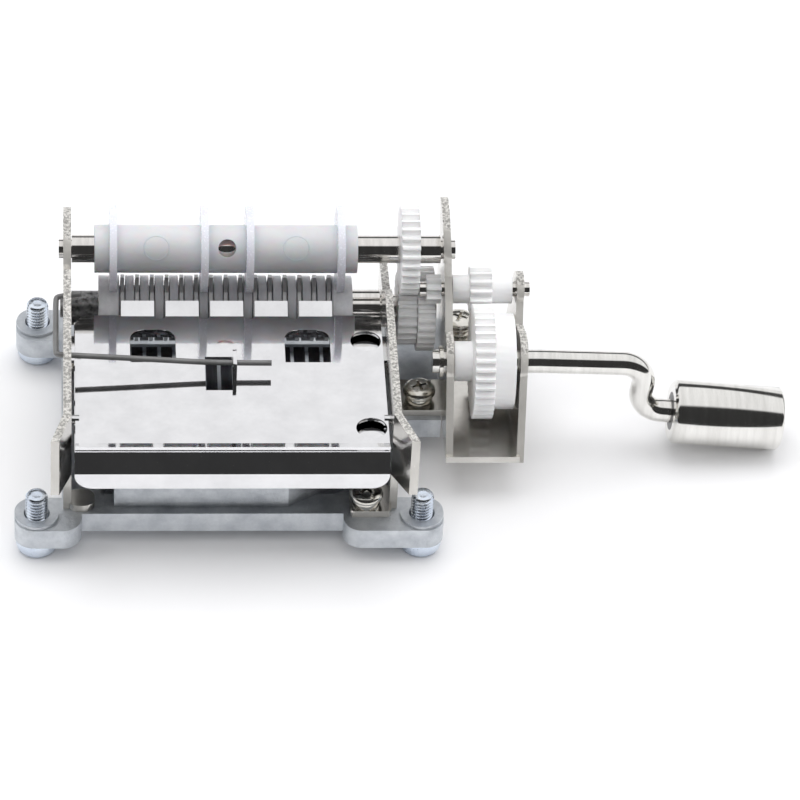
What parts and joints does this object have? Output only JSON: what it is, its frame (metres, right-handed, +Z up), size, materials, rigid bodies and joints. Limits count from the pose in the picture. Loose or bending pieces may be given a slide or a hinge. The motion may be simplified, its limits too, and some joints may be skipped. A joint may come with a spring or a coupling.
{
  "type": "hand-cranked punched-strip music box movement",
  "caption": "Open music box movement on a cast base: a crank and gears turn two rollers that draw a punched paper strip over star wheels that pluck a steel comb.",
  "frame": {"origin": "centre of the four mounting studs, on the plane of the boss faces they stand out of", "axes": "+X along the rollers towards the crank handle, +Y from the strip entry towards the rollers, +Z up out of the base"},
  "size_m": [0.1045, 0.0467, 0.0319],
  "materials": {
    "zinc_casting": "as-cast die-cast zinc alloy, light bluish grey, slightly glossy",
    "nickel_sheet": "nickel plated stamped steel, with rough sheared edges",
    "mirror_sheet": "mirror nickel plated sheet",
    "comb_steel": "hardened dark steel",
    "spring_steel": "dark grey spring wire",
    "polished_shaft": "polished nickel plated shaft",
    "nickel_rod": "bright nickel plating",
    "nickel_screw": "bright nickel plating",
    "zinc_screw": "bright bluish zinc plating",
    "star_steel": "bare steel",
    "frosted_nylon": "frosted translucent natural plastic",
    "clear_ring": "translucent white, faintly violet",
    "grey_acetal": "satin light grey moulding",
    "white_acetal": "white satin moulding",
    "dark_bush": "dark steel"
  },
  "bodies": {
    "frame": {"base_casting": "zinc_casting", "left_side_plate": "nickel_sheet", "right_side_plate": "nickel_sheet", "gear_bracket": "nickel_sheet", "strip_tray": "mirror_sheet", "comb": "comb_steel", "foot_screw_1": "nickel_screw", "foot_screw_2": "nickel_screw", "foot_screw_3": "nickel_screw", "bracket_screw_1": "nickel_screw", "bracket_screw_2": "nickel_screw", "comb_screw_1": "nickel_screw", "comb_screw_2": "nickel_screw", "mounting_screw_front_left": "zinc_screw", "mounting_screw_front_right": "zinc_screw", "mounting_screw_rear_left": "zinc_screw", "mounting_screw_rear_right": "zinc_screw", "spring_wire": "spring_steel"},
    "cover": {"strip_cover": "mirror_sheet"},
    "upper_roller_set": {"upper_shaft": "polished_shaft", "upper_roller": "frosted_nylon", "drive_ring_1": "clear_ring", "drive_ring_2": "clear_ring", "drive_ring_3": "clear_ring", "drive_ring_4": "clear_ring", "upper_gear": "white_acetal"},
    "lower_roller_set": {"lower_shaft": "polished_shaft", "grooved_roller": "grey_acetal", "lower_gear": "white_acetal", "reduction_gear": "white_acetal"},
    "idler": {"idler_axle": "polished_shaft", "pinion": "white_acetal", "idler_gear": "white_acetal"},
    "crank": {"crank_rod": "nickel_rod", "crank_gear": "white_acetal", "crank_clip": "nickel_screw"},
    "knob": {"handle_knob": "nickel_rod", "knob_bush": "dark_bush"},
    "star_01": {"star_wheel_01": "star_steel"},
    "star_02": {"star_wheel_02": "star_steel"},
    "star_03": {"star_wheel_03": "star_steel"},
    "star_04": {"star_wheel_04": "star_steel"},
    "star_05": {"star_wheel_05": "star_steel"},
    "star_06": {"star_wheel_06": "star_steel"},
    "star_07": {"star_wheel_07": "star_steel"},
    "star_08": {"star_wheel_08": "star_steel"},
    "star_09": {"star_wheel_09": "star_steel"},
    "star_10": {"star_wheel_10": "star_steel"},
    "star_11": {"star_wheel_11": "star_steel"},
    "star_12": {"star_wheel_12": "star_steel"},
    "star_13": {"star_wheel_13": "star_steel"},
    "star_14": {"star_wheel_14": "star_steel"},
    "star_15": {"star_wheel_15": "star_steel"}
  },
  "joints": [
    {"name": "crank_spin", "type": "hinge", "parent": "frame", "child": "crank", "pos_m": [0, 0.00095, 0.0088], "axis": [1, 0, 0], "continuous": true},
    {"name": "idler_spin", "type": "hinge", "parent": "frame", "child": "idler", "pos_m": [0, 0.00954, 0.0143], "axis": [1, 0, 0], "continuous": true},
    {"name": "lower_roller_spin", "type": "hinge", "parent": "frame", "child": "lower_roller_set", "pos_m": [0, 0.013, 0.008], "axis": [1, 0, 0], "continuous": true},
    {"name": "upper_roller_spin", "type": "hinge", "parent": "frame", "child": "upper_roller_set", "pos_m": [0, 0.013, 0.0184], "axis": [1, 0, 0], "continuous": true},
    {"name": "knob_spin", "type": "hinge", "parent": "crank", "child": "knob", "pos_m": [0.06065, 0.00095, -0.0001], "axis": [0.9954, 0, -0.0958], "continuous": true},
    {"name": "cover_lift", "type": "hinge", "parent": "frame", "child": "cover", "pos_m": [0, -0.0145, 0.0119], "axis": [1, 0, 0], "range_deg": [0, 2.5], "stiffness_Nm_per_rad": 0.05, "springref_deg": -5.73, "deforming": ["spring_wire"]},
    {"name": "star_01_spin", "type": "hinge", "parent": "lower_roller_set", "child": "star_01", "pos_m": [0, 0.013, 0.008], "axis": [1, 0, 0], "continuous": true},
    {"name": "star_02_spin", "type": "hinge", "parent": "lower_roller_set", "child": "star_02", "pos_m": [0, 0.013, 0.008], "axis": [1, 0, 0], "continuous": true},
    {"name": "star_03_spin", "type": "hinge", "parent": "lower_roller_set", "child": "star_03", "pos_m": [0, 0.013, 0.008], "axis": [1, 0, 0], "continuous": true},
    {"name": "star_04_spin", "type": "hinge", "parent": "lower_roller_set", "child": "star_04", "pos_m": [0, 0.013, 0.008], "axis": [1, 0, 0], "continuous": true},
    {"name": "star_05_spin", "type": "hinge", "parent": "lower_roller_set", "child": "star_05", "pos_m": [0, 0.013, 0.008], "axis": [1, 0, 0], "continuous": true},
    {"name": "star_06_spin", "type": "hinge", "parent": "lower_roller_set", "child": "star_06", "pos_m": [0, 0.013, 0.008], "axis": [1, 0, 0], "continuous": true},
    {"name": "star_07_spin", "type": "hinge", "parent": "lower_roller_set", "child": "star_07", "pos_m": [0, 0.013, 0.008], "axis": [1, 0, 0], "continuous": true},
    {"name": "star_08_spin", "type": "hinge", "parent": "lower_roller_set", "child": "star_08", "pos_m": [0, 0.013, 0.008], "axis": [1, 0, 0], "continuous": true},
    {"name": "star_09_spin", "type": "hinge", "parent": "lower_roller_set", "child": "star_09", "pos_m": [0, 0.013, 0.008], "axis": [1, 0, 0], "continuous": true},
    {"name": "star_10_spin", "type": "hinge", "parent": "lower_roller_set", "child": "star_10", "pos_m": [0, 0.013, 0.008], "axis": [1, 0, 0], "continuous": true},
    {"name": "star_11_spin", "type": "hinge", "parent": "lower_roller_set", "child": "star_11", "pos_m": [0, 0.013, 0.008], "axis": [1, 0, 0], "continuous": true},
    {"name": "star_12_spin", "type": "hinge", "parent": "lower_roller_set", "child": "star_12", "pos_m": [0, 0.013, 0.008], "axis": [1, 0, 0], "continuous": true},
    {"name": "star_13_spin", "type": "hinge", "parent": "lower_roller_set", "child": "star_13", "pos_m": [0, 0.013, 0.008], "axis": [1, 0, 0], "continuous": true},
    {"name": "star_14_spin", "type": "hinge", "parent": "lower_roller_set", "child": "star_14", "pos_m": [0, 0.013, 0.008], "axis": [1, 0, 0], "continuous": true},
    {"name": "star_15_spin", "type": "hinge", "parent": "lower_roller_set", "child": "star_15", "pos_m": [0, 0.013, 0.008], "axis": [1, 0, 0], "continuous": true}
  ],
  "couplings": [
    {"joint": "idler_spin", "follows": "crank_spin", "ratio": -2.6429},
    {"joint": "lower_roller_spin", "follows": "crank_spin", "ratio": 0.7551},
    {"joint": "upper_roller_spin", "follows": "crank_spin", "ratio": -0.59887}
  ]
}
